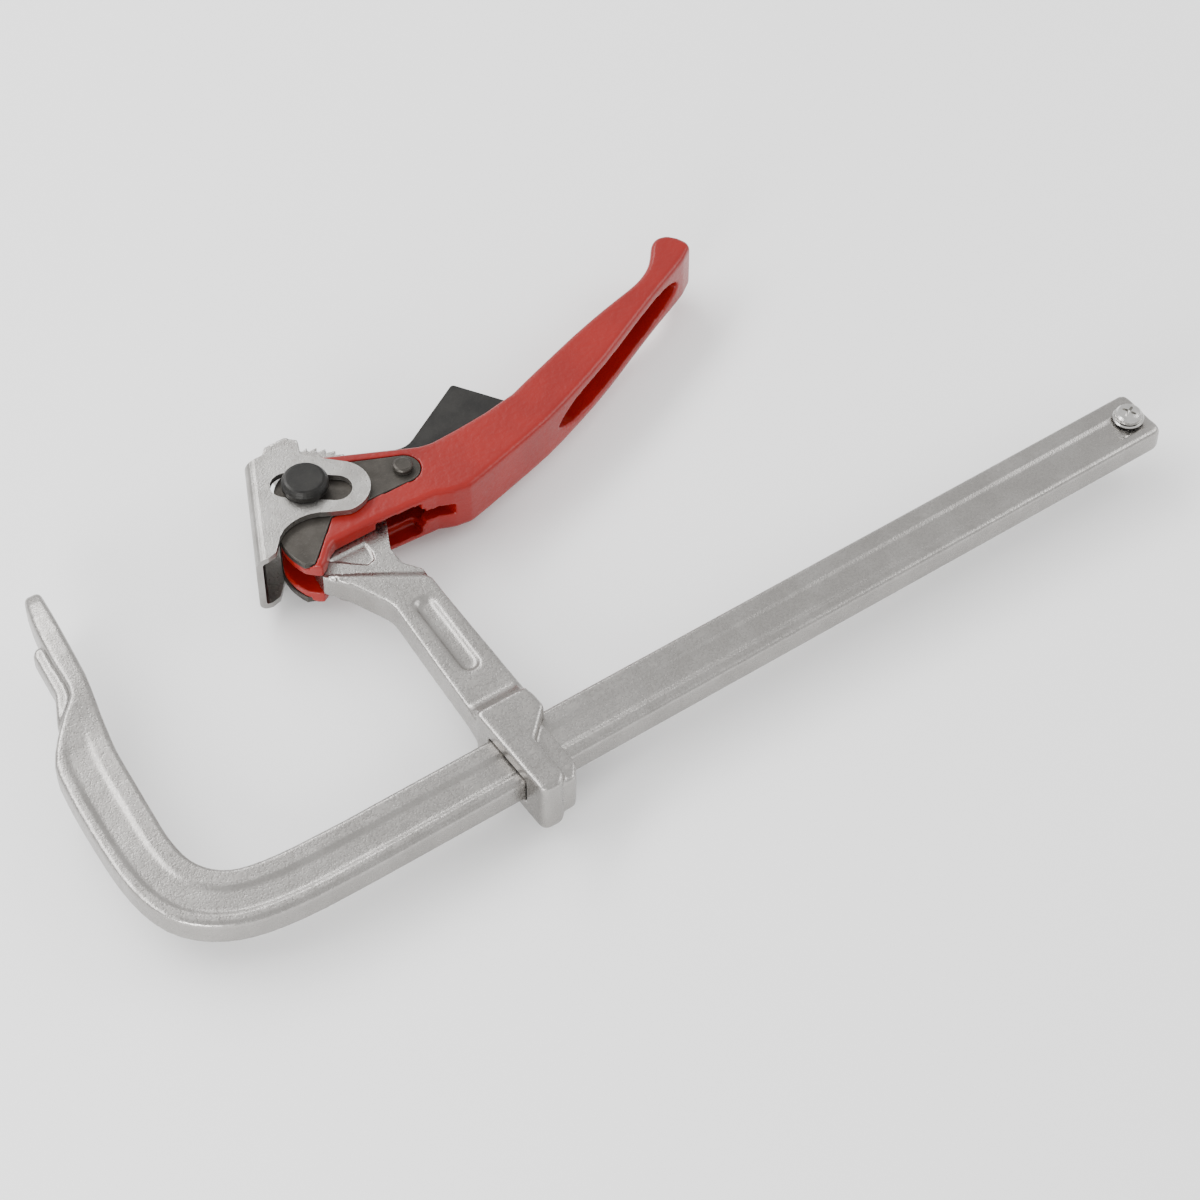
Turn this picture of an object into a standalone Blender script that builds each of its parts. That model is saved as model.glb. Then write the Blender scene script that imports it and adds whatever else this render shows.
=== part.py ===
"""Lever-action F clamp, lying on its side, built as an assembly of separate parts.

Metres, +Z up. +X runs along the rail to its free end, +Y points out of the throat and
+Z goes through the clamp's thickness. The origin is the centre of the fixed jaw's face.
Outlines are written in millimetres. Those of the rail start at the origin, and those of
the head (arm, lever, jaw, pins) start at the pivot pin's axis.
"""
import math

import bmesh
import bpy
from mathutils import Matrix, Vector

MM = 0.001
GAP = 0.3                   # running clearance between neighbouring parts

# Rail and fixed jaw
RAIL_WIDTH = 25.0
RAIL_HALF = 6.0             # half of the rail's 12 mm thickness
RAIL_END = 427.7            # free end, measured from the fixed jaw's face
THROAT = 142.0              # from the face's centre down to the rail
FACE_LEAN = 7.5             # degrees that the fixed jaw leans in at its tip
GROOVE_DEPTH = 0.7
STOP_X = 419.5

# Head, measured from the pivot axis
PIVOT_X = 115.3
PIVOT_Y = 2.2
TONGUE_HALF = 5.0
SHANK_HALF = 6.6
COLLAR_HALF = 13.0
WASHER_LOW = 4.0
LEVER_HALF = 12.0
CHANNEL_HALF = 5.3
CHANNEL_FLOOR = -20.8
SPRING_X = 66.0
CAM_THICK = 3.0
JAW_INNER = 12.4
JAW_THICK = 2.8
PIN_RADIUS = 6.4
RIVET = (39.2, -12.1)
RIVET_RADIUS = 3.2

# Ratchet
TOOTH_TIP = 30.6
TOOTH_ROOT = 27.9
TOOTH_PITCH = 7.65          # degrees
TOP_TOOTH = 58.0
TOOTH_COUNT = 10

# Pressing jaw and cam
SLOT_ANGLE = 141.0          # direction in which the jaw travels, degrees
SLOT_OUT = 12.6             # slot length on the side of the ear's tip
SLOT_BACK = 7.7
SLOT_RADIUS = 6.75
WEB_ANGLE = 153.6           # normal of the pressing face, degrees
WEB_OUTER = 23.6
WEB_LOW = -38.0             # ends of the web along its own direction
WEB_HIGH = 15.3
WORK_SWIVEL = 18.6          # swivel at which the pressing face meets the fixed jaw squarely
LEVER_CLOSE = 30.0
LEVER_OPEN = 18.0
JAW_PER_RADIAN = 23.0       # jaw travel per radian of lever

RAIL_AT = (0.0, 0.0)
HEAD_AT = (PIVOT_X, PIVOT_Y)
RAIL_Y = -THROAT - PIVOT_Y  # rail's inner edge, from the pivot


# ---------------------------------------------------------------- outlines

def polar(radius, degrees, centre=(0.0, 0.0)):
    a = math.radians(degrees)
    return (centre[0] + radius * math.cos(a), centre[1] + radius * math.sin(a))


def arc(centre, radius, start, end, steps):
    return [polar(radius, start + (end - start) * i / steps, centre) for i in range(steps + 1)]


def rounded(corners, steps=4):
    """Closed outline from (x, y, radius) corners, each one turned into an arc."""
    points = []
    for i, (x, y, radius) in enumerate(corners):
        here = Vector((x, y))
        back = (Vector(corners[i - 1][:2]) - here).normalized()
        ahead = (Vector(corners[(i + 1) % len(corners)][:2]) - here).normalized()
        if radius <= 0:
            points.append((x, y))
            continue
        half = back.angle(ahead) / 2
        centre = here + (back + ahead).normalized() * radius / math.sin(half)
        first = here + back * radius / math.tan(half) - centre
        last = here + ahead * radius / math.tan(half) - centre
        turn = math.atan2(first.x * last.y - first.y * last.x, first.dot(last))
        for k in range(steps + 1):
            p = centre + Matrix.Rotation(turn * k / steps, 2) @ first
            points.append((p.x, p.y))
    return points


def spline(knots, steps=4):
    """Catmull-Rom curve through the knots, without its last point."""
    ends = [knots[0]] + list(knots) + [knots[-1]]
    points = []
    for a, b, c, d in zip(ends, ends[1:], ends[2:], ends[3:]):
        for k in range(steps):
            t = k / steps
            points.append(tuple(
                0.5 * (2 * q + (r - p) * t + (2 * p - 5 * q + 4 * r - w) * t * t
                       + (3 * q - p - 3 * r + w) * t ** 3)
                for p, q, r, w in zip(a, b, c, d)))
    return points


def grown(outline, distance):
    """The outline moved outwards by distance (counter-clockwise outlines only)."""
    moved = []
    for i, (x, y) in enumerate(outline):
        before = Vector((x, y)) - Vector(outline[i - 1])
        after = Vector(outline[(i + 1) % len(outline)]) - Vector((x, y))
        n1 = Vector((before.y, -before.x)).normalized()
        n2 = Vector((after.y, -after.x)).normalized()
        middle = (n1 + n2).normalized()
        step = distance / max(middle.dot(n1), 0.5)
        moved.append((x + middle.x * step, y + middle.y * step))
    return moved


def cam_edge(shrink, steps=14):
    """Involute edge that pushes the web.

    Its distance from the pivot along a direction grows evenly as the direction turns, so
    the jaw moves evenly with the lever.
    """
    slope = JAW_PER_RADIAN * math.cos(math.radians(WEB_ANGLE - SLOT_ANGLE))
    square = WEB_ANGLE + WORK_SWIVEL
    reach = WEB_OUTER - JAW_THICK - 2 * GAP - shrink
    points = []
    for i in range(steps + 1):
        turn = -LEVER_OPEN + (LEVER_CLOSE + LEVER_OPEN) * i / steps
        out = Vector(polar(reach + slope * math.radians(turn), square + turn))
        side = Vector(polar(slope, square + turn + 90))
        points.append(tuple(out + side))
    return points


# ---------------------------------------------------------------- solids

def clear_scene():
    for old in list(bpy.data.objects):
        bpy.data.objects.remove(old, do_unlink=True)


def material(name, colour, roughness, metallic):
    made = bpy.data.materials.new(name)
    made.use_nodes = True
    shader = made.node_tree.nodes["Principled BSDF"]
    shader.inputs["Base Color"].default_value = (*colour, 1.0)
    shader.inputs["Roughness"].default_value = roughness
    shader.inputs["Metallic"].default_value = metallic
    return made


def add_object(name, bm, at, smooth=30):
    """Object from a bmesh drawn in millimetres, with its origin at a point in millimetres."""
    bmesh.ops.scale(bm, vec=(MM, MM, MM), verts=bm.verts)
    bmesh.ops.recalc_face_normals(bm, faces=bm.faces)
    mesh = bpy.data.meshes.new(name)
    bm.to_mesh(mesh)
    bm.free()
    mesh.shade_smooth()
    mesh.set_sharp_from_angle(angle=math.radians(smooth))
    made = bpy.data.objects.new(name, mesh)
    bpy.context.collection.objects.link(made)
    made.location = (at[0] * MM, at[1] * MM, 0.0)
    return made


def prism(name, outline, low, high, at=HEAD_AT, bevel=0.0, segments=2):
    """Outline extruded from low to high, with its long edges rounded."""
    bm = bmesh.new()
    base = bm.faces.new([bm.verts.new((x, y, low)) for x, y in outline])
    top = bmesh.ops.extrude_face_region(bm, geom=[base])["geom"]
    lifted = [v for v in top if isinstance(v, bmesh.types.BMVert)]
    bmesh.ops.translate(bm, vec=(0, 0, high - low), verts=lifted)
    if bevel:
        rims = [e for e in bm.edges if abs(e.verts[0].co.z - e.verts[1].co.z) < 1e-6]
        bmesh.ops.bevel(bm, geom=rims, offset=bevel, segments=segments, profile=0.5,
                        affect="EDGES", clamp_overlap=True)
    return add_object(name, bm, at)


def tapered(name, outline, low, high, draw_in, at=HEAD_AT):
    """Prism whose lower outline is smaller than its upper one by draw_in."""
    bm = bmesh.new()
    upper = [bm.verts.new((x, y, high)) for x, y in outline]
    lower = [bm.verts.new((x, y, low)) for x, y in grown(outline, -draw_in)]
    bm.faces.new(upper)
    bm.faces.new(lower)
    count = len(upper)
    for i in range(count):
        bm.faces.new((lower[i - 1], lower[i], upper[i], upper[i - 1]))
    return add_object(name, bm, at)


def turned(name, profile, at, sides=40):
    """Solid of revolution about Z from (radius, z) points, top to bottom."""
    bm = bmesh.new()
    rings = []
    for radius, z in profile:
        rings.append([bm.verts.new((*polar(radius, 360 * i / sides), z)) for i in range(sides)])
    for upper, lower in zip(rings, rings[1:]):
        for i in range(sides):
            bm.faces.new((upper[i - 1], upper[i], lower[i], lower[i - 1]))
    bm.faces.new(rings[0])
    bm.faces.new(rings[-1])
    return add_object(name, bm, at)


def tube(name, outer, inner, low, high, at, edge=0.2, sides=40):
    """Bush or washer: a closed ring with small chamfers."""
    section = [(inner, low), (outer - edge, low), (outer, low + edge), (outer, high - edge),
               (outer - edge, high), (inner, high)]
    bm = bmesh.new()
    rings = [[bm.verts.new((*polar(r, 360 * i / sides), z)) for r, z in section] for i in range(sides)]
    for i in range(sides):
        for k in range(len(section)):
            bm.faces.new((rings[i - 1][k - 1], rings[i - 1][k], rings[i][k], rings[i][k - 1]))
    return add_object(name, bm, at)


def boolean(target, tool, operation):
    change = target.modifiers.new(tool.name, "BOOLEAN")
    change.object = tool
    change.operation = operation
    change.solver = "EXACT"
    tool.hide_render = True
    tool.display_type = "WIRE"


def cut(target, *tools):
    for tool in tools:
        boolean(target, tool, "DIFFERENCE")


def join(target, *tools):
    for tool in tools:
        boolean(target, tool, "UNION")


def round_hole(name, radius, at, reach=40.0, sides=40):
    return prism(name, arc((0, 0), radius, 0, 360 - 360 / sides, sides - 1), -reach, reach, at)


def finish(part, look, joint_frame=None):
    part.data.materials.append(look)
    if joint_frame is not None:
        part.parent = joint_frame
        part.matrix_parent_inverse = Matrix.Translation(-joint_frame.location)
    return part


def joint_frame(name, at):
    made = bpy.data.objects.new(name, None)
    made.empty_display_size = 0.02
    made.location = (at[0] * MM, at[1] * MM, 0.0)
    bpy.context.collection.objects.link(made)
    return made


# ---------------------------------------------------------------- rail

def rail_section(inner, outer, half, groove):
    """Ring of points around the bar: inner edge, near face with its groove, outer edge, far face."""
    a = Vector((*inner, 0.0))
    b = Vector((*outer, 0.0))
    width = (b - a).length
    across = (b - a) / width
    edge = min(1.7, half * 0.35)
    ledge = min(0.82 * width, width - edge - 0.3)
    upper = [(0.0, half - edge), (0.3 * edge, half - 0.3 * edge), (edge, half),
             (0.32 * width, half), (0.39 * width, half - groove),
             (ledge - 0.08 * width, half - groove), (ledge, half),
             (width - edge, half), (width - 0.3 * edge, half - 0.3 * edge), (width, half - edge)]
    ring = upper + [(u, -z) for u, z in reversed(upper)]
    return [a + across * u + Vector((0, 0, z)) for u, z in ring]


def fixed_face(y):
    """Point of the fixed jaw's flat face at a height y."""
    return (y * math.tan(math.radians(FACE_LEAN)), y)


def build_rail(look):
    """Forged bar: straight rail, bend, leaning arm and flattened jaw, with a rib behind it."""
    inside = -THROAT
    outside = -THROAT - RAIL_WIDTH
    stations = [
        # inner point, outer point, half thickness, groove depth
        ((RAIL_END, inside - 2.8), (RAIL_END, outside + 2.8), RAIL_HALF - 1.2, 0.2),
        ((RAIL_END - 0.9, inside - 0.8), (RAIL_END - 0.9, outside + 0.8), RAIL_HALF - 0.3, 0.5),
        ((RAIL_END - 3.2, inside), (RAIL_END - 3.2, outside), RAIL_HALF, GROOVE_DEPTH),
        ((300, inside), (300, outside), RAIL_HALF, GROOVE_DEPTH),
        ((150, inside), (150, outside), RAIL_HALF, GROOVE_DEPTH),
        ((42, inside), (42, outside), RAIL_HALF, GROOVE_DEPTH),
        ((20, -141.4), (18, -166.6), RAIL_HALF, GROOVE_DEPTH),
        ((7, -140.2), (2, -165.2), RAIL_HALF, GROOVE_DEPTH),
        ((-2, -138.2), (-11, -162.4), RAIL_HALF, GROOVE_DEPTH),
        ((-8, -135.0), (-21, -158.0), RAIL_HALF, GROOVE_DEPTH),
        ((-12.3, -130.4), (-30, -151.0), RAIL_HALF, GROOVE_DEPTH),
        ((-15.2, -124.4), (-36.6, -141.6), RAIL_HALF, GROOVE_DEPTH),
        ((-16.3, -117.2), (-40.2, -129.4), RAIL_HALF, GROOVE_DEPTH),
        ((-16.4, -108.5), (-41.3, -116.0), RAIL_HALF, GROOVE_DEPTH),
        ((-15.4, -98.0), (-40.9, -102.0), RAIL_HALF, GROOVE_DEPTH),
        ((-13.6, -80.0), (-39.4, -82.5), RAIL_HALF, GROOVE_DEPTH),
        ((-11.9, -64.0), (-37.6, -67.5), RAIL_HALF, 0.5),
        ((-10.0, -54.5), (-35.2, -56.5), RAIL_HALF, 0.3),
        ((-8.0, -45.0), (-28.6, -46.5), RAIL_HALF + 0.3, 0.0),
        ((-6.0, -37.0), (-21.0, -38.0), RAIL_HALF + 0.8, 0.0),
        ((-4.5, -30.5), (-14.2, -31.0), RAIL_HALF + 1.2, 0.0),
        (fixed_face(-24.0), (-12.4, -24.0), RAIL_HALF + 1.4, 0.0),
        (fixed_face(-12.0), (-11.4, -11.5), RAIL_HALF + 1.6, 0.0),
        (fixed_face(0.0), (-9.9, 1.0), RAIL_HALF + 1.4, 0.0),
        (fixed_face(10.0), (-8.0, 11.0), RAIL_HALF + 0.8, 0.0),
        (fixed_face(18.0), (-6.0, 18.8), RAIL_HALF - 0.4, 0.0),
        (fixed_face(22.5), (-4.5, 23.0), RAIL_HALF - 1.6, 0.0),
        ((2.3, 24.6), (-3.2, 24.8), RAIL_HALF - 2.8, 0.0),
    ]
    straight, face = 5, 21
    curved = [[*a, *b, half, groove] for a, b, half, groove in stations[straight:face + 1]]
    between = [((v[0], v[1]), (v[2], v[3]), v[4], v[5]) for v in spline(curved, 2)]
    bm = bmesh.new()
    rings = [[bm.verts.new(p) for p in rail_section(*station)]
             for station in stations[:straight] + between + stations[face:]]
    for one, two in zip(rings, rings[1:]):
        for i in range(len(one)):
            bm.faces.new((one[i - 1], one[i], two[i], two[i - 1]))
    bm.faces.new(rings[0])
    bm.faces.new(rings[-1])
    rail = add_object("rail", bm, RAIL_AT, smooth=35)
    rib = prism("rail_rib", rounded([(-13, -1.0, 0), (-15.2, -3.4, 1.5), (-17.6, -25, 6), (-28.2, -46.9, 3),
                                     (-18, -42, 2), (-8.5, -26, 2), (-7, -1.0, 0)]),
                -4.43, 4.43, RAIL_AT, bevel=1.37)
    join(rail, rib)
    cut(rail, round_hole("stop_bore", 3.3, (STOP_X, -THROAT - RAIL_WIDTH / 2), sides=24))
    return finish(rail, look)


def build_stop(steel, zinc):
    """Screw, washer and nut across the rail's free end, which stop the arm coming off."""
    at = (STOP_X, -THROAT - RAIL_WIDTH / 2)
    face = RAIL_HALF + GAP
    under = face + 1.1 + GAP
    screw = turned("stop_screw", [
        (2.4, under + 2.7), (4.6, under + 2.3), (5.5, under + 1.4), (5.7, under + 0.3),
        (5.7, under), (3.0, under), (3.0, -RAIL_HALF - 4.0), (2.4, -RAIL_HALF - 4.6)], at, sides=32)
    for turn in (0, 90):
        bar = prism(f"stop_cross_{turn}", [polar(r, a + turn + 25) for r, a in
                                            ((3.1, -11), (3.1, 11), (3.1, 169), (3.1, 191))],
                    under + 1.2, under + 5, at)
        cut(screw, bar)
    finish(screw, zinc)
    finish(tube("stop_washer", 6.6, 3.3, face, face + 1.1, at, edge=0.35), zinc)
    finish(tube("stop_nut", 5.6, 3.3, -face - 3.4, -face, at, edge=0.5), steel)


# ---------------------------------------------------------------- sliding arm

def ratchet_edge():
    """Saw teeth along the sector, each with a steep face on its clockwise side."""
    points = [polar(TOOTH_ROOT, TOP_TOOTH - TOOTH_PITCH * TOOTH_COUNT + 2)]
    for i in reversed(range(TOOTH_COUNT)):
        tip = TOP_TOOTH - TOOTH_PITCH * i
        points.append(polar(TOOTH_ROOT, tip - 0.5))
        points.append(polar(TOOTH_TIP, tip))
    points.append(polar(TOOTH_ROOT, TOP_TOOTH + 5.5))
    return points


def build_arm(zinc, slide):
    """Forged arm: collar round the rail, shank, thinner tongue with ratchet sector and stop block."""
    shank = prism("sliding_arm", rounded([
        (18.3, RAIL_Y + 8, 0), (19.3, -84, 30), (19.9, -62.6, 1.2), (-16.6, -37.4, 1.2),
        (-9.4, -47, 8), (-1.2, -66, 14), (-3.7, -99, 60), (-5.6, RAIL_Y + 18, 20),
        (-7.0, RAIL_Y + 8, 0)]), -SHANK_HALF, SHANK_HALF, bevel=2.3, segments=3)
    tongue = prism("arm_tongue", [(18.6, -66), (20.2, -56.5), (14.8, -49), (14.8, -40), (21.3, -27)]
                   + ratchet_edge()
                   + [(15.2, 31.6), (11.3, 35.8), (1.3, 35.8), (-1.9, 32.2)]
                   + arc((0, 0), 11.8, 99, 196, 12)
                   + [(-15.9, -38.0), (-8, -50), (1, -66)], -TONGUE_HALF, TONGUE_HALF)
    collar = prism("arm_collar", rounded([
        (17.0, RAIL_Y + 9.6, 5), (17.2, RAIL_Y - 2.5, 3), (5.0, RAIL_Y - 14.2, 3),
        (5.0, RAIL_Y - 34, 4), (1.5, RAIL_Y - 37.6, 3), (-7.2, RAIL_Y - 37.6, 3.5),
        (-7.2, RAIL_Y + 9.6, 1.5)]), -COLLAR_HALF, COLLAR_HALF, bevel=2.4, segments=3)
    flange = prism("arm_flange", rounded([
        (0, RAIL_Y + 2, 0), (12.9, RAIL_Y + 2, 2), (12.9, RAIL_Y - 30.5, 2),
        (8.5, RAIL_Y - 36.4, 3), (0, RAIL_Y - 36.4, 0)]), -9.6, 9.6, bevel=1.2)
    join(shank, tongue, collar, flange)
    for side in (1, -1):
        join(shank, build_shoulder(side), build_ramp(side))
    cut(shank, rail_bore(), round_hole("arm_bore", 8.3, HEAD_AT))
    seat = WASHER_LOW - GAP
    for low, high in ((seat, 20), (-20, -seat)):
        cut(shank, prism(f"washer_seat_{high}", arc((0, 0), 10.3, 0, 351, 39), low, high))
    for side in (1, -1):
        pocket = tapered(f"arm_pocket_{side}", pocket_outline(), SHANK_HALF - 1.5, SHANK_HALF + 0.5, 2.4)
        patch = prism(f"arm_patch_{side}", rounded([
            (-10.0, -31.5, 0), (2.4, -42.6, 1.5), (6.6, -41.6, 2), (8.0, -37, 1), (8.0, -31.5, 0)]),
            TONGUE_HALF - 0.7, TONGUE_HALF + 3)
        if side < 0:
            for tool in (pocket, patch):
                tool.rotation_euler = (math.pi, 0, 0)
                tool.data.transform(Matrix.Diagonal((1, -1, 1, 1)))
                tool.data.flip_normals()
        cut(shank, pocket, patch)
    return finish(shank, zinc, slide)


def pocket_outline():
    """Long oval recess that lightens the shank; it leans with the shank."""
    low = (7.6, RAIL_Y + 36)
    high = (9.3, RAIL_Y + 70)
    return arc(low, 5.2, 183, 357, 8) + arc(high, 5.2, 3, 177, 8)


def build_shoulder(side):
    """Slope from the shank's face up to the thick collar."""
    bm = bmesh.new()
    low, high = RAIL_Y + 6.0, RAIL_Y + 18.0
    section = [(low, 4.0), (low, COLLAR_HALF - 0.3), (low + 2.6, COLLAR_HALF - 0.5),
               (low + 5.5, SHANK_HALF + 3.1), (low + 8.5, SHANK_HALF + 1.0),
               (high, SHANK_HALF - 0.3), (high, 4.0)]
    ends = [[bm.verts.new((x, y, z * side)) for y, z in section] for x in (-4.6, 16.2)]
    bm.faces.new(ends[0])
    bm.faces.new(ends[1])
    for i in range(len(section)):
        bm.faces.new((ends[0][i - 1], ends[0][i], ends[1][i], ends[1][i - 1]))
    return add_object(f"arm_shoulder_{side}", bm, HEAD_AT)


def build_ramp(side):
    """Slope from the shank's face down to the thinner tongue, wider towards the back."""
    high = SHANK_HALF - 0.15
    low = TONGUE_HALF - 0.2
    inner = [(-14.4, -39.4), (18.8, -62.2)]
    outer = [(-13.2, -37.6), (19.6, -57.8)]
    corners = [(*p, z * side) for p, z in
               ((inner[0], 3.0), (inner[1], 3.0), (outer[1], 3.0), (outer[0], 3.0),
                (inner[0], high), (inner[1], high), (outer[1], low), (outer[0], low))]
    bm = bmesh.new()
    v = [bm.verts.new(c) for c in corners]
    for face in ((0, 1, 2, 3), (4, 5, 6, 7), (0, 1, 5, 4), (1, 2, 6, 5), (2, 3, 7, 6), (3, 0, 4, 7)):
        bm.faces.new([v[i] for i in face])
    bmesh.ops.triangulate(bm, faces=bm.faces)
    return add_object(f"arm_ramp_{side}", bm, HEAD_AT)


def rail_bore():
    """Rectangular passage for the rail, with running clearance."""
    clear = RAIL_HALF + 0.4
    inside = RAIL_Y + 0.4
    outside = RAIL_Y - RAIL_WIDTH - 0.4
    return prism("arm_rail_bore", [(-60, outside), (60, outside), (60, inside), (-60, inside)],
                 -clear, clear)


def build_bushes(bronze, steel, slide):
    """Bush in the tongue, and a thrust washer let into each side of it."""
    finish(tube("pivot_bush", 8.0, PIN_RADIUS + GAP, -WASHER_LOW + GAP, WASHER_LOW - GAP, HEAD_AT),
           bronze, slide)
    for name, low in (("thrust_washer_near", WASHER_LOW), ("thrust_washer_far", -TONGUE_HALF)):
        finish(tube(name, 10.0, 7.2, low, low + TONGUE_HALF - WASHER_LOW, HEAD_AT), steel, slide)


# ---------------------------------------------------------------- lever

def lever_outline():
    upper = [(206.8, 36.6), (202.8, 37.9), (199.4, 37.0), (196.4, 34.4), (193.0, 30.2), (188.8, 26.1),
             (183.8, 23.0), (178.8, 20.9), (172.0, 19.1), (158.0, 15.9), (140.0, 11.0), (120.0, 4.6),
             (106.0, 0.0), (94.8, -4.0)]
    saddle = [(84.0, -4.7), (70.0, -5.7), (57.0, -6.1), (51.5, -5.0), (46.5, -2.6)]
    lower = [(57.0, -35.3), (65.0, -33.5), (84.0, -28.7), (104.0, -23.3), (124.0, -16.0), (144.0, -7.7),
             (164.0, 2.0), (184.0, 11.6), (199.0, 18.2), (207.5, 22.4)]
    tip = [(211.0, 25.4), (211.6, 28.6), (209.8, 33.0)]
    web_side = [p for p in cam_edge(0.4)][::1]
    nose = [(-17.6, -36.0), (-15.6, -37.4), (-12.4, -35.6), (-8.0, -31.0), (-4.2, -28.8)]
    return (spline(upper, 2) + saddle + [(4.9, 18.2), (0.5, 15.6)] + arc((0, 0), 12.5, 108, 152, 6)
            + web_side + nose + [(14.0, -29.0), (30.0, -30.2), (43.5, -31.2), (50.0, -34.0)]
            + spline(lower, 2) + tip)


def cam_outline():
    """Dark plate: small end round the rivet, eye round the pivot, lobe with the involute edge."""
    boss = 13.05
    small = 7.3
    span = math.hypot(*RIVET)
    heading = math.degrees(math.atan2(RIVET[1], RIVET[0]))
    tangent = heading + math.degrees(math.acos((boss - small) / span))
    return (arc(RIVET, small, 272, 360 + tangent, 12) + arc((0, 0), boss, tangent, 152, 10)
            + cam_edge(0.0) + [(-19.0, -33.8), (-17.3, -34.6), (-16.0, -33.8)]
            + [(1.0, -17.9), (3.0, -17.6)])


def build_lever(red, swing):
    """Two cheeks joined by a solid handle, with a channel between them for tongue and pawl."""
    lever = prism("lever", lever_outline(), -LEVER_HALF, LEVER_HALF, bevel=1.9, segments=3)
    channel = prism("lever_channel", rounded([
        (-60, -60, 0), (38.0, -60, 0), (38.0, -26, 2), (50.0, CHANNEL_FLOOR, 2),
        (101.0, CHANNEL_FLOOR, 3),
        (103.0, 20, 0), (-60, 60, 0)]), -CHANNEL_HALF, CHANNEL_HALF)
    pocket = prism("lever_wide_mouth", rounded([
        (11.5, -60, 0), (37.0, -60, 0), (36.0, -23.6, 1.5), (16.0, -22.4, 4)]), -9.0, 9.0)
    slit = prism("lever_slit", [(30, -60), (50.5, -60), (50.5, -18), (30, -18)], -3.0, 3.0)
    dowel_bore = upright(turned("lever_dowel_bore", [(1.8, 20), (1.8, -0.3)], HEAD_AT, sides=20),
                         SPRING_X, CHANNEL_FLOOR - 3.0)
    cut(lever, channel, pocket, slit, handle_pocket(), dowel_bore)
    for side in (1, -1):
        low = LEVER_HALF - CAM_THICK - GAP
        span = sorted((side * low, side * (LEVER_HALF + 4)))
        cut(lever, prism(f"lever_cam_recess_{side}", grown(cam_outline(), GAP), *span))
    cut(lever, round_hole("lever_bore", 7.0, HEAD_AT),
        round_hole("lever_rivet_bore", RIVET_RADIUS + GAP, head_point(RIVET), sides=24))
    return finish(lever, red, swing)


def head_point(point):
    return (PIVOT_X + point[0], PIVOT_Y + point[1])


def handle_pocket():
    """Long lens-shaped pocket cut into the underside of the grip."""
    start = Vector((111.0, -21.0))
    end = Vector((199.5, 18.6))
    length = (end - start).length
    width = [(0.0, 0.6), (0.04, 3.4), (0.12, 6.2), (0.25, 7.2), (0.75, 7.2), (0.9, 6.0), (0.97, 3.6),
             (1.0, 1.0)]
    outline = [(f * length, -w) for f, w in width] + [(f * length, w) for f, w in reversed(width)]
    bm = bmesh.new()
    rings = [[bm.verts.new((s, t, w)) for s, w in outline] for t in (-12.0, 9.0)]
    bm.faces.new(rings[0])
    bm.faces.new(rings[1])
    for i in range(len(outline)):
        bm.faces.new((rings[0][i - 1], rings[0][i], rings[1][i], rings[1][i - 1]))
    slope = math.atan2(end.y - start.y, end.x - start.x)
    bmesh.ops.transform(bm, matrix=Matrix.Translation((start.x, start.y, 0))
                        @ Matrix.Rotation(slope, 4, "Z"), verts=bm.verts)
    return add_object("lever_grip_pocket", bm, HEAD_AT)


def build_cams(dark, swing):
    for name, low in (("cam_plate_near", LEVER_HALF - CAM_THICK), ("cam_plate_far", -LEVER_HALF)):
        plate = prism(name, cam_outline(), low, low + CAM_THICK, bevel=0.35, segments=1)
        cut(plate, round_hole(name + "_eye", PIN_RADIUS + GAP, HEAD_AT),
            round_hole(name + "_rivet_hole", RIVET_RADIUS + GAP, head_point(RIVET), sides=24))
        finish(plate, dark, swing)


def build_rivet(dark, swing):
    top = LEVER_HALF + GAP
    half = [(3.1, top + 2.7), (3.8, top + 2.4), (4.2, top + 1.8), (4.2, top), (RIVET_RADIUS, top)]
    profile = half + [(r, -z) for r, z in reversed(half)]
    finish(turned("cam_rivet", profile, head_point(RIVET), sides=32), dark, swing)


# ---------------------------------------------------------------- release pawl

def build_pawl(black, release):
    """Trigger and pawl in one piece: the nose reaches up to the ratchet, the trigger stands proud."""
    tip = polar(TOOTH_TIP + 0.4, 18.6)
    corners = [(RIVET[0] + 3, RIVET[1] - 6.2, 3), (52.0, -16.0, 6), (96.4, -10.0, 1.5),
               (99.6, -0.9, 0.6), (84.9, 21.6, 1.6), (50.0, 2.4, 10),
               (tip[0] + 4.0, tip[1] - 0.9, 1.5), (tip[0] + 0.8, tip[1] + 0.5, 0.3), (*tip, 0.3),
               (RIVET[0] - 6.4, RIVET[1] + 3, 4), (RIVET[0] - 5.6, RIVET[1] - 6.2, 4)]
    outline = [(x - RIVET[0], y - RIVET[1]) for x, y in rounded(corners)]
    pawl = prism("release_pawl", outline, -4.7, 4.7, head_point(RIVET), bevel=0.5)
    spring_pocket = prism("pawl_spring_pocket", [
        (SPRING_X - 5.5, -40), (SPRING_X + 5, -40), (SPRING_X + 5, 3), (SPRING_X - 5.5, 3)], -3.2, 3.2)
    cut(pawl, round_hole("pawl_bore", 4.6, head_point(RIVET), sides=28), spring_pocket)
    return finish(pawl, black, release)


def upright(part, x, y):
    """Stands a piece drawn along Z in the lever's channel, pointing along +Y."""
    part.data.transform(Matrix.Rotation(-math.pi / 2, 4, "X"))
    part.location = ((PIVOT_X + x) * MM, (PIVOT_Y + y) * MM, 0.0)
    return part


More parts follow.
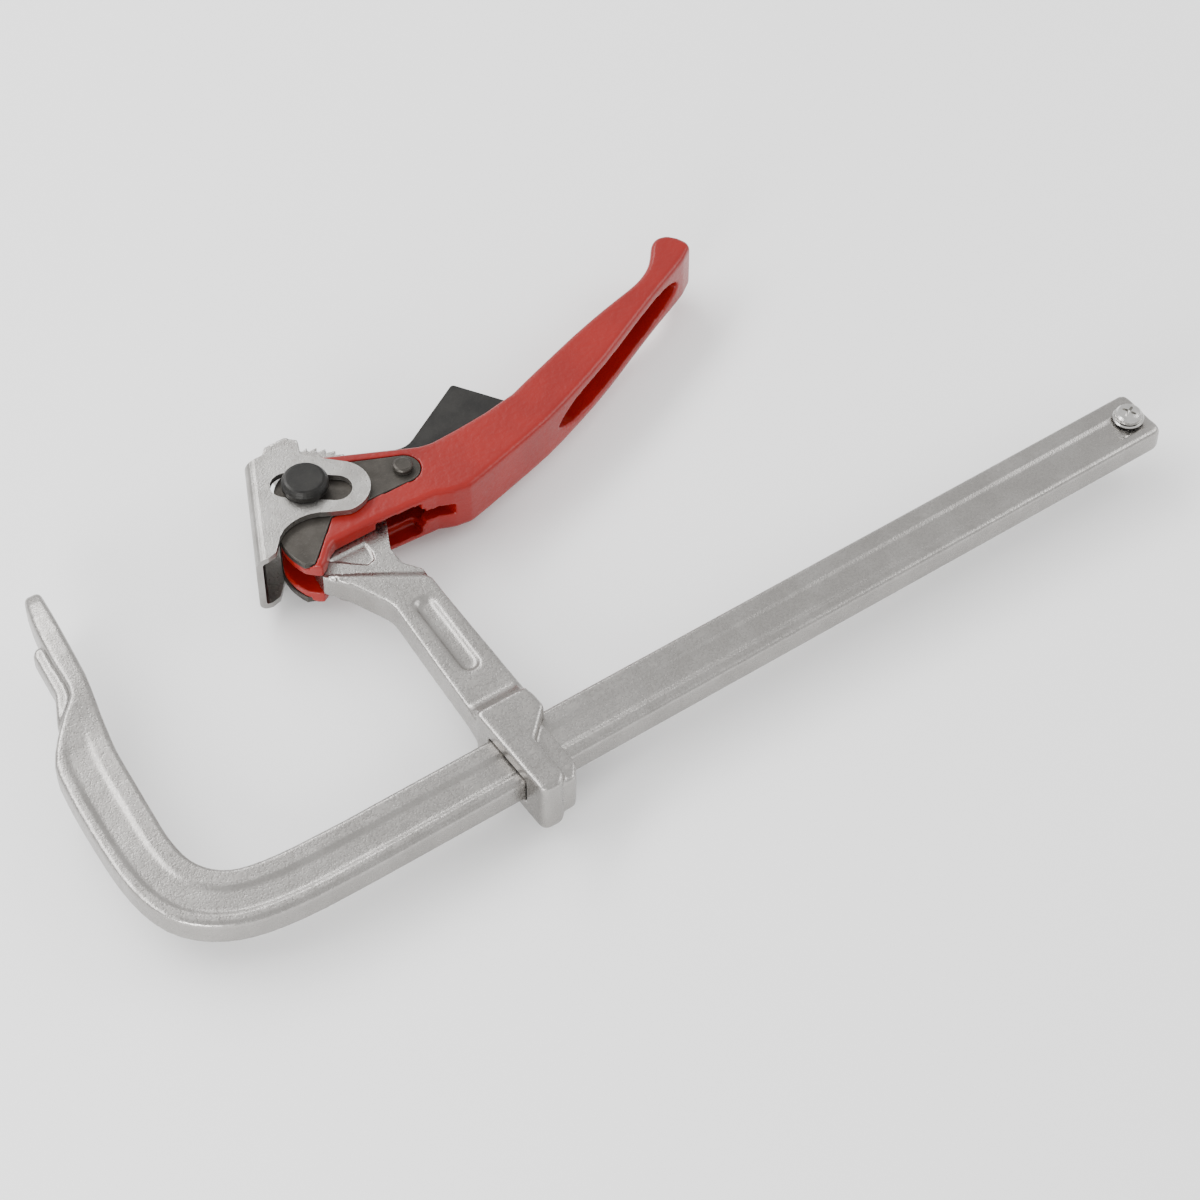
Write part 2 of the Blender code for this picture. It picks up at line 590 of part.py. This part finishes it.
def build_spring(steel, swing):
    """Coil spring under the trigger, and the dowel that locates it in the lever."""
    seat = turned("spring_seat", [(1.1, 7.4), (1.5, 7.0), (1.5, 0.4), (1.1, 0.0)], HEAD_AT, sides=20)
    finish(upright(seat, SPRING_X, CHANNEL_FLOOR - 3.0), steel, swing)
    turns, wire, coil, height, around = 6, 0.45, 2.5, 17.5, 8
    steps = turns * 16
    bm = bmesh.new()
    rings = []
    for i in range(steps + 1):
        turn = 2 * math.pi * turns * i / steps
        rise = wire + (height - 2 * wire) * i / steps
        rings.append([bm.verts.new((
            (coil + wire * math.cos(a)) * math.cos(turn), (coil + wire * math.cos(a)) * math.sin(turn),
            rise + wire * math.sin(a))) for a in [2 * math.pi * k / around for k in range(around)]])
    for one, two in zip(rings, rings[1:]):
        for k in range(around):
            bm.faces.new((one[k - 1], one[k], two[k], two[k - 1]))
    bm.faces.new(rings[0])
    bm.faces.new(rings[-1])
    spring = add_object("pawl_spring", bm, HEAD_AT)
    finish(upright(spring, SPRING_X, CHANNEL_FLOOR + GAP), steel, swing)


def build_pawl_bush(bronze, swing):
    finish(tube("pawl_bush", 4.3, RIVET_RADIUS + GAP, -4.9, 4.9, head_point(RIVET), sides=28),
           bronze, swing)


# ---------------------------------------------------------------- pin and jaw

def build_pin(black, steel, swivel):
    """Main pin with its large chamfered head, far washer and retaining ring."""
    under = JAW_INNER + JAW_THICK + GAP
    pin = turned("pivot_pin", [
        (7.4, under + 4.9), (8.4, under + 4.6), (9.3, under + 3.6), (9.75, under + 2.6),
        (9.75, under + 0.4), (9.3, under), (PIN_RADIUS, under), (PIN_RADIUS, -17.4),
        (5.4, -17.4), (5.4, -18.9), (PIN_RADIUS, -18.9), (PIN_RADIUS, -19.9), (5.6, -20.6)], HEAD_AT)
    finish(pin, black, swivel)
    finish(tube("pin_washer", 9.6, PIN_RADIUS + GAP, -17.0, -under, HEAD_AT, edge=0.3), steel, swivel)
    ring = tube("pin_circlip", 8.4, 5.7, -18.65, -17.65, HEAD_AT, edge=0.15)
    mouth = prism("circlip_mouth", [(2.5, -2.2), (14, -2.8), (14, 2.8), (2.5, 2.2)], -22, -15)
    cut(ring, mouth)
    finish(ring, steel, swivel)


def ear_outline():
    """Side plate of the jaw: web edge on the left, tapering neck, and a round ear with its slot."""
    ear = polar(-SLOT_OUT, SLOT_ANGLE)
    centre = (ear[0] + 0.5, ear[1] + 0.6)
    foot = [web_point(WEB_OUTER + 1, WEB_LOW), (-32.4, -24.3), (-28.4, -23.4), (-25.4, -20.4), (-22.6, -17.2),
            (-19.0, -14.8), (-15.2, -13.6), (-11.2, -13.2), (-7.2, -13.6), (-3.2, -15.0), (0.8, -17.4),
            (4.6, -19.4)]
    return (foot + arc(centre, 14.0, 262, 360 + 51, 14)
            + [(9.4, 13.4), (7.4, 16.0), (6.4, 19.6), (5.9, 22.2), (4.0, 24.2),
               web_point(WEB_OUTER + 1, WEB_HIGH)])


def web_point(out, along):
    """Point given by its distance from the pivot along the web's normal, and along the web."""
    normal = Vector(polar(out, WEB_ANGLE))
    return tuple(normal + Vector(polar(along, WEB_ANGLE - 90)))


def build_jaw(zinc, travel):
    """Bent sheet: two slotted ears and the pressing web, with rounded bends along the web."""
    outer = JAW_INNER + JAW_THICK
    jaw = prism("pressure_jaw", ear_outline(), -outer, outer)
    bend = web_bar("jaw_bend", WEB_OUTER, outer, 4.4)
    boolean(jaw, bend, "INTERSECT")
    cut(jaw, web_bar("jaw_hollow", WEB_OUTER - JAW_THICK, JAW_INNER, 1.4), jaw_slot())
    return finish(jaw, zinc, travel)


def web_bar(name, out, half, bend):
    """Long bar behind the web's face, with its two front edges rounded."""
    quarter = arc((out - bend, half - bend), bend, 0, 90, 6)
    section = [(-60.0, -half)] + [(n, -z) for n, z in reversed(quarter)] + quarter + [(-60.0, half)]
    bm = bmesh.new()
    ends = [[bm.verts.new((*web_point(n, along), z)) for n, z in section] for along in (-90.0, 90.0)]
    bm.faces.new(ends[0])
    bm.faces.new(ends[1])
    for i in range(len(section)):
        bm.faces.new((ends[0][i - 1], ends[0][i], ends[1][i], ends[1][i - 1]))
    return add_object(name, bm, HEAD_AT)


def jaw_slot():
    """Oval slot through both ears, along the jaw's travel."""
    far = polar(-SLOT_OUT, SLOT_ANGLE)
    near = polar(SLOT_BACK, SLOT_ANGLE)
    outline = (arc(near, SLOT_RADIUS, SLOT_ANGLE - 90, SLOT_ANGLE + 90, 14)
               + arc(far, SLOT_RADIUS, SLOT_ANGLE + 90, SLOT_ANGLE + 270, 14))
    return prism("jaw_slot", outline, -30, 30)


def main():
    clear_scene()
    zinc = material("zinc_plated_steel", (0.42, 0.40, 0.38), 0.38, 0.9)
    steel = material("bright_steel", (0.45, 0.44, 0.42), 0.35, 1.0)
    bronze = material("bush_bronze", (0.45, 0.30, 0.13), 0.40, 1.0)
    red = material("red_paint", (0.46, 0.035, 0.020), 0.38, 0.0)
    dark = material("dark_steel", (0.075, 0.073, 0.065), 0.45, 0.6)
    black = material("black_oxide", (0.038, 0.036, 0.034), 0.45, 0.4)

    slide = joint_frame("arm_slide_axis", HEAD_AT)
    swing = joint_frame("lever_swing_axis", HEAD_AT)
    swivel = joint_frame("jaw_swivel_axis", HEAD_AT)
    travel = joint_frame("jaw_travel_axis", HEAD_AT)
    release = joint_frame("pawl_release_axis", head_point(RIVET))

    build_rail(zinc)
    build_stop(steel, zinc)
    build_arm(zinc, slide)
    build_bushes(bronze, steel, slide)
    build_lever(red, swing)
    build_cams(dark, swing)
    build_rivet(dark, swing)
    build_pawl(black, release)
    build_pawl_bush(bronze, swing)
    build_spring(steel, swing)
    build_pin(black, steel, swivel)
    build_jaw(zinc, travel)


main()
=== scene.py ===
"""Finished look of the lever-action F clamp, lying on a pale studio floor."""

import bmesh
import bpy
from mathutils import Matrix, Vector


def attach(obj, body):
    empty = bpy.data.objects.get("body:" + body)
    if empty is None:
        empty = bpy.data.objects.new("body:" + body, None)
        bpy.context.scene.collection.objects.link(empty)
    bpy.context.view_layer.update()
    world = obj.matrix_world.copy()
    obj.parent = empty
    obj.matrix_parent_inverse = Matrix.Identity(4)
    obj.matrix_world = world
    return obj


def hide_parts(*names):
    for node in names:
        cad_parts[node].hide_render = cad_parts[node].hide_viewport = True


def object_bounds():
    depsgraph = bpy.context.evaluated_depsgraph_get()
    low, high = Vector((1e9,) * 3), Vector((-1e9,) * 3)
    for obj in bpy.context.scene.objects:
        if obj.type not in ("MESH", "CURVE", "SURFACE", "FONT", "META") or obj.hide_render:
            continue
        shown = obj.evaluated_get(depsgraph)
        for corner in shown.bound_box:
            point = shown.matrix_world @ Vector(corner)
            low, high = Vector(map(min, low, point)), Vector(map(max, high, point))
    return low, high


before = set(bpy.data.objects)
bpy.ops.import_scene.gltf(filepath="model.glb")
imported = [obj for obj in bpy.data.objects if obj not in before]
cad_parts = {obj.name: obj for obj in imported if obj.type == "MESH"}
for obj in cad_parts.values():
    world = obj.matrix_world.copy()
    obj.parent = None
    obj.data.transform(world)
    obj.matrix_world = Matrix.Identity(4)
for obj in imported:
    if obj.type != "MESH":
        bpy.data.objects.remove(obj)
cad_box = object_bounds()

# Camera: where it stands, where it looks and its lens, in the row frame
CAMERA_AT = (-0.3409, -0.8613, 1.1085)
CAMERA_LOOK = (0.366, 0.525, -0.768)
CAMERA_UP = (0.440, 0.630, 0.640)
CAMERA_LENS = 108.0
CAMERA_SENSOR = 36.0
CAMERA_SHIFT_Y = -0.0033
CAMERA_NEAR = 0.01

# Where the worn stretches of the forged and cast pieces begin
BEND_END_X = 0.05
COLLAR_SIDE_Y = -0.0408
HANDLE_START_X = 0.1673

# Floor and sky
FLOOR_GAP = 0.0002
FLOOR_HALF = 6.0
FLOOR_GREY = (0.95, 0.95, 0.95, 1)
FLOOR_ROUGHNESS = 0.7
SKY_WHITE = (1.0, 1.0, 1.0, 1)
SKY_STRENGTH = 1.12

# Softboxes: name, place, size in metres and power in watts. All of them face LAMPS_AIM_AT
LAMPS_AIM_AT = (0.19, -0.07, 0.0)
LAMPS = (
    ("key", (-0.35, 0.75, 1.05), (2.4, 0.45), 28),
    ("side", (1.1, -0.35, 0.75), (0.8, 0.5), 5),
    ("front", (-0.95, -0.75, 0.42), (0.6, 0.4), 16),
)


# ---------------------------------------------------------------- node materials

class Mixer:
    """Small helper that adds and links the nodes of one material."""

    def __init__(self, name, metallic=0.0):
        self.material = bpy.data.materials.new(name)
        self.material.use_nodes = True
        self.nodes = self.material.node_tree.nodes
        self.links = self.material.node_tree.links
        self.shader = self.nodes["Principled BSDF"]
        self.shader.inputs["Metallic"].default_value = metallic
        self.place = self.nodes.new("ShaderNodeTexCoord").outputs["Object"]

    def noise(self, scale, detail, roughness, stretch=None, distortion=0.0):
        node = self.nodes.new("ShaderNodeTexNoise")
        node.inputs["Scale"].default_value = scale
        node.inputs["Detail"].default_value = detail
        node.inputs["Roughness"].default_value = roughness
        node.inputs["Distortion"].default_value = distortion
        self.link(self.stretched(stretch), node.inputs["Vector"])
        return node.outputs["Fac"]

    def cells(self, scale):
        node = self.nodes.new("ShaderNodeTexVoronoi")
        node.inputs["Scale"].default_value = scale
        self.link(self.place, node.inputs["Vector"])
        return node.outputs["Distance"]

    def stretched(self, stretch):
        """The place on the piece, scaled differently along X, Y and Z if stretch is given."""
        if stretch is None:
            return self.place
        mapping = self.nodes.new("ShaderNodeMapping")
        mapping.inputs["Scale"].default_value = stretch
        self.link(self.place, mapping.inputs["Vector"])
        return mapping.outputs["Vector"]

    def band(self, value, low, high, start=0.0, end=1.0):
        """Goes smoothly from start to end as value goes from low to high."""
        node = self.nodes.new("ShaderNodeMapRange")
        node.interpolation_type = "SMOOTHSTEP"
        node.inputs["From Min"].default_value = low
        node.inputs["From Max"].default_value = high
        node.inputs["To Min"].default_value = start
        node.inputs["To Max"].default_value = end
        self.link(value, node.inputs["Value"])
        return node.outputs["Result"]

    def edges(self, radius, low=0.02, high=0.10):
        """1 along convex edges and 0 elsewhere, from a rounded normal."""
        bevel = self.nodes.new("ShaderNodeBevel")
        bevel.samples = 6
        bevel.inputs["Radius"].default_value = radius
        normal = self.nodes.new("ShaderNodeNewGeometry").outputs["Normal"]
        dot = self.nodes.new("ShaderNodeVectorMath")
        dot.operation = "DOT_PRODUCT"
        self.link(bevel.outputs["Normal"], dot.inputs[0])
        self.link(normal, dot.inputs[1])
        return self.band(dot.outputs["Value"], 1.0 - low, 1.0 - high)

    def maths(self, kind, a, b):
        node = self.nodes.new("ShaderNodeMath")
        node.operation = kind
        node.use_clamp = True
        for socket, value in zip(node.inputs, (a, b)):
            if isinstance(value, (int, float)):
                socket.default_value = value
            else:
                self.link(value, socket)
        return node.outputs["Value"]

    def mix(self, factor, a, b):
        """Colour a where factor is 0 and colour b where it is 1."""
        node = self.nodes.new("ShaderNodeMix")
        node.data_type = "RGBA"
        colour_a, colour_b = node.inputs[6], node.inputs[7]
        self.link(factor, node.inputs["Factor"])
        for socket, value in ((colour_a, a), (colour_b, b)):
            if isinstance(value, tuple):
                socket.default_value = (*value, 1.0)
            else:
                self.link(value, socket)
        return node.outputs[2]

    def bump(self, height, distance, strength, after=None):
        node = self.nodes.new("ShaderNodeBump")
        node.inputs["Distance"].default_value = distance
        node.inputs["Strength"].default_value = strength
        self.link(height, node.inputs["Height"])
        if after is not None:
            self.link(after, node.inputs["Normal"])
        return node.outputs["Normal"]

    def link(self, output, socket):
        self.links.new(output, socket)

    def out(self, colour, roughness, normal):
        """Links the finished values to the shader and returns the material."""
        for name, value in (("Base Color", colour), ("Roughness", roughness), ("Normal", normal)):
            self.link(value, self.shader.inputs[name])
        return self.material


def forged_zinc():
    """Zinc plate over a forged, shot-blasted skin: fine pits, a painted glinting highlight along the
    edges, and softly varying grey.
    """
    m = Mixer("forged_zinc", metallic=1.0)
    broad = m.noise(60, 4, 0.6)
    pits = m.noise(1100, 3, 0.5)
    grit = m.cells(1500)
    warm = m.mix(m.band(broad, 0.3, 0.7), (0.305, 0.293, 0.279), (0.355, 0.342, 0.327))
    spots = m.band(m.noise(200, 3, 0.65), 0.56, 0.72)
    dull = m.mix(m.maths("MULTIPLY", spots, 0.08), warm, (0.19, 0.17, 0.155))
    # Painted highlight: near-white glints in the base colour along the convex edges, standing in for
    # lamp reflections.
    painted_glint_noise = m.band(m.noise(1500, 2, 0.6), 0.50, 0.62)
    painted_edge_glint = m.maths("MULTIPLY", painted_glint_noise, m.edges(0.0020, 0.003, 0.05))
    bright = m.mix(m.maths("MULTIPLY", m.edges(0.0009), 0.4), dull, (0.62, 0.61, 0.59))
    bright = m.mix(painted_edge_glint, bright, (0.98, 0.97, 0.95))
    roughness = m.maths("ADD", m.band(pits, 0.25, 0.75, 0.23, 0.39), m.maths("MULTIPLY", spots, 0.12))
    normal = m.bump(pits, 0.00018, 0.35)
    normal = m.bump(grit, 0.00012, 0.35, normal)
    normal = m.bump(broad, 0.0006, 0.4, normal)
    return m.out(bright, roughness, normal)


def sheet_zinc():
    """Zinc-plated pressed sheet: smoother, with faint drawing lines and handling marks."""
    m = Mixer("sheet_zinc", metallic=0.95)
    broad = m.noise(70, 4, 0.55)
    fine = m.noise(1300, 3, 0.6)
    lines = m.noise(240, 2, 0.6, stretch=(1, 1, 9))
    base = m.mix(m.band(broad, 0.32, 0.7), (0.29, 0.28, 0.265), (0.38, 0.37, 0.355))
    scuff = m.band(m.noise(420, 5, 0.72, distortion=0.5), 0.58, 0.68)
    base = m.mix(m.maths("MULTIPLY", scuff, 0.4), base, (0.22, 0.20, 0.18))
    base = m.mix(m.maths("MULTIPLY", m.edges(0.0006), 0.35), base, (0.60, 0.59, 0.57))
    roughness = m.band(fine, 0.25, 0.75, 0.26, 0.40)
    normal = m.bump(lines, 0.00016, 0.35, m.bump(fine, 0.0002, 0.6))
    return m.out(base, roughness, normal)


def red_coat():
    """Glossy red powder coat with orange peel, thinner and lighter along the edges."""
    m = Mixer("red_powder_coat")
    for socket, value in (("Coat Weight", 0.12), ("Coat Roughness", 0.14), ("Specular IOR Level", 0.32)):
        m.shader.inputs[socket].default_value = value
    peel = m.noise(420, 2, 0.5)
    fine = m.noise(1500, 2, 0.5)
    broad = m.noise(45, 3, 0.5)
    base = m.mix(m.band(broad, 0.3, 0.7), (0.200, 0.0040, 0.0020), (0.235, 0.0052, 0.0026))
    base = m.mix(m.maths("MULTIPLY", m.edges(0.0010), 0.38), base, (0.40, 0.030, 0.018))
    dust = m.band(m.noise(800, 4, 0.7), 0.66, 0.74)
    base = m.mix(m.maths("MULTIPLY", dust, 0.25), base, (0.22, 0.020, 0.014))
    roughness = m.band(fine, 0.3, 0.7, 0.30, 0.42)
    normal = m.bump(peel, 0.00035, 0.5, m.bump(fine, 0.00006, 0.4))
    return m.out(base, roughness, normal)


def dark_plate():
    """Blackened, tumbled steel plate with rubbed edges and fine scratches."""
    m = Mixer("dark_plate", metallic=0.75)
    broad = m.noise(90, 4, 0.6)
    fine = m.noise(1400, 3, 0.6)
    scratch = m.noise(500, 4, 0.6, stretch=(1.0, 6.0, 1.0), distortion=0.3)
    base = m.mix(m.band(broad, 0.3, 0.7), (0.038, 0.034, 0.029), (0.062, 0.056, 0.049))
    base = m.mix(m.maths("MULTIPLY", m.band(scratch, 0.58, 0.70), 0.4), base, (0.12, 0.113, 0.10))
    base = m.mix(m.maths("MULTIPLY", m.edges(0.0005), 0.5), base, (0.22, 0.21, 0.195))
    roughness = m.band(fine, 0.3, 0.7, 0.34, 0.5)
    normal = m.bump(scratch, 0.00007, 0.35, m.bump(fine, 0.00010, 0.4))
    return m.out(base, roughness, normal)


def black_oxide(name, light, rough):
    """Satin black-oxide steel with slightly bare edges; light scales the colour."""
    m = Mixer(name, metallic=0.55)
    broad = m.noise(120, 4, 0.6)
    fine = m.noise(1600, 3, 0.6)
    dark, pale = (tuple(c * light for c in colour)
                  for colour in ((0.011, 0.0105, 0.0098), (0.021, 0.020, 0.018)))
    base = m.mix(m.band(broad, 0.3, 0.7), dark, pale)
    base = m.mix(m.maths("MULTIPLY", m.edges(0.0005), 0.45), base, (0.12, 0.115, 0.108))
    roughness = m.band(fine, 0.3, 0.7, rough - 0.06, rough + 0.08)
    return m.out(base, roughness, m.bump(fine, 0.00010, 0.45))


def turned_steel(name, colour, rough):
    """Machined metal with fine turning marks round Z."""
    m = Mixer(name, metallic=1.0)
    fine = m.noise(1800, 3, 0.6, stretch=(1, 1, 6))
    broad = m.noise(200, 3, 0.6)
    dark, bright = (tuple(c * scale for c in colour) for scale in (0.78, 1.25))
    base = m.mix(m.band(broad, 0.3, 0.7), dark, colour)
    base = m.mix(m.maths("MULTIPLY", m.edges(0.0004), 0.4), base, bright)
    return m.out(base, m.band(fine, 0.3, 0.7, rough - 0.06, rough + 0.08), m.bump(fine, 0.00006, 0.4))


# ---------------------------------------------------------------- pieces

def repaint(node, material):
    """Gives a CAD node that keeps its own mesh a finished material."""
    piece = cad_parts[node]
    piece.data.materials.clear()
    piece.data.materials.append(material)


def softened(node, body, material, voxel, light, heavy, worn):
    """Cast or forged skin for a node: its mesh remeshed at voxel metres, with its edges melted.

    All of it gets light rounds of smoothing, and points where worn(point) holds get heavy more.
    """
    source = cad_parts[node]
    piece = bpy.data.objects.new(node + "_skin", source.data.copy())
    piece.matrix_world = source.matrix_world.copy()
    bpy.context.scene.collection.objects.link(piece)
    remesh = piece.modifiers.new("skin", "REMESH")
    remesh.mode = "VOXEL"
    remesh.voxel_size = voxel
    remesh.use_smooth_shade = True
    settle(piece)
    group = piece.vertex_groups.new(name="worn")
    group.add([v.index for v in piece.data.vertices if worn(v.co)], 1.0, "REPLACE")
    for name, rounds in (("melt", light), ("wear", heavy)):
        smooth = piece.modifiers.new(name, "SMOOTH")
        smooth.factor = 0.5
        smooth.iterations = rounds
        if name == "wear":
            smooth.vertex_group = group.name
    settle(piece)
    piece.data.materials.clear()
    piece.data.materials.append(material)
    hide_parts(node)
    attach(piece, body)
    return piece


def settle(piece):
    """Applies the piece's modifiers."""
    bpy.context.view_layer.update()
    done = bpy.data.meshes.new_from_object(piece.evaluated_get(bpy.context.evaluated_depsgraph_get()))
    piece.modifiers.clear()
    piece.data = done


def stage():
    """Flat pale floor just under the clamp, and a plain white sky."""
    low = cad_box[0][2] - FLOOR_GAP
    bm = bmesh.new()
    for x, y in ((-1, -1), (1, -1), (1, 1), (-1, 1)):
        bm.verts.new((x * FLOOR_HALF, y * FLOOR_HALF, low))
    bm.faces.new(bm.verts)
    mesh = bpy.data.meshes.new("studio_floor")
    bm.to_mesh(mesh)
    bm.free()
    floor = bpy.data.objects.new("studio_floor", mesh)
    bpy.context.scene.collection.objects.link(floor)
    paint = bpy.data.materials.new("studio_floor")
    paint.use_nodes = True
    shader = paint.node_tree.nodes["Principled BSDF"]
    shader.inputs["Base Color"].default_value = FLOOR_GREY
    shader.inputs["Roughness"].default_value = FLOOR_ROUGHNESS
    mesh.materials.append(paint)

    world = bpy.data.worlds.new("studio_world")
    world.use_nodes = True
    sky = world.node_tree.nodes["Background"]
    sky.inputs["Color"].default_value = SKY_WHITE
    sky.inputs["Strength"].default_value = SKY_STRENGTH
    bpy.context.scene.world = world


def softbox(name, at, size, power):
    """White rectangular lamp that faces the clamp."""
    light = bpy.data.lights.new(name, "AREA")
    light.shape = "RECTANGLE"
    light.size, light.size_y = size
    light.energy = power
    lamp = bpy.data.objects.new(name, light)
    lamp.location = at
    lamp.rotation_euler = (Vector(LAMPS_AIM_AT) - Vector(at)).to_track_quat("-Z", "Y").to_euler()
    bpy.context.scene.collection.objects.link(lamp)


def camera():
    """Camera at CAMERA_AT that looks along CAMERA_LOOK, with CAMERA_UP upwards in the picture."""
    data = bpy.data.cameras.new("photo_camera")
    data.lens = CAMERA_LENS
    data.sensor_width = CAMERA_SENSOR
    data.clip_start = CAMERA_NEAR
    data.shift_y = CAMERA_SHIFT_Y
    eye = bpy.data.objects.new("photo_camera", data)
    back = -Vector(CAMERA_LOOK).normalized()
    right = Vector(CAMERA_UP).cross(back).normalized()
    up = back.cross(right)
    turn = Matrix((right, up, back)).transposed().to_4x4()
    eye.matrix_world = Matrix.Translation(CAMERA_AT) @ turn
    bpy.context.scene.collection.objects.link(eye)
    bpy.context.scene.camera = eye


def main():
    zinc = forged_zinc()
    steel = turned_steel("bright_steel_look", (0.55, 0.54, 0.52), 0.34)
    plated = turned_steel("bright_plated_look", (0.62, 0.61, 0.59), 0.15)
    bronze = turned_steel("bronze_look", (0.50, 0.34, 0.16), 0.36)
    dark = dark_plate()
    pin_black = black_oxide("pin_black", 0.8, 0.36)
    trigger_black = black_oxide("trigger_black", 1.0, 0.46)

    softened("rail", "rail", zinc, 0.0006, 2, 4, lambda p: p.x < BEND_END_X)
    softened("sliding_arm", "sliding_arm", zinc, 0.0005, 2, 16,
             lambda p: p.y < COLLAR_SIDE_Y)
    softened("lever", "lever", red_coat(), 0.0006, 3, 12, lambda p: p.x > HANDLE_START_X)
    repaint("pressure_jaw", sheet_zinc())
    for node in ("stop_screw", "stop_washer"):
        repaint(node, plated)
    for node in ("stop_nut", "thrust_washer_near", "thrust_washer_far", "pin_washer", "pin_circlip",
                 "pawl_spring", "spring_seat"):
        repaint(node, steel)
    for node in ("pivot_bush", "pawl_bush"):
        repaint(node, bronze)
    for node in ("cam_plate_near", "cam_plate_far", "cam_rivet"):
        repaint(node, dark)
    repaint("pivot_pin", pin_black)
    repaint("release_pawl", trigger_black)

    stage()
    for name, at, size, power in LAMPS:
        softbox(name, at, size, power)
    camera()


main()
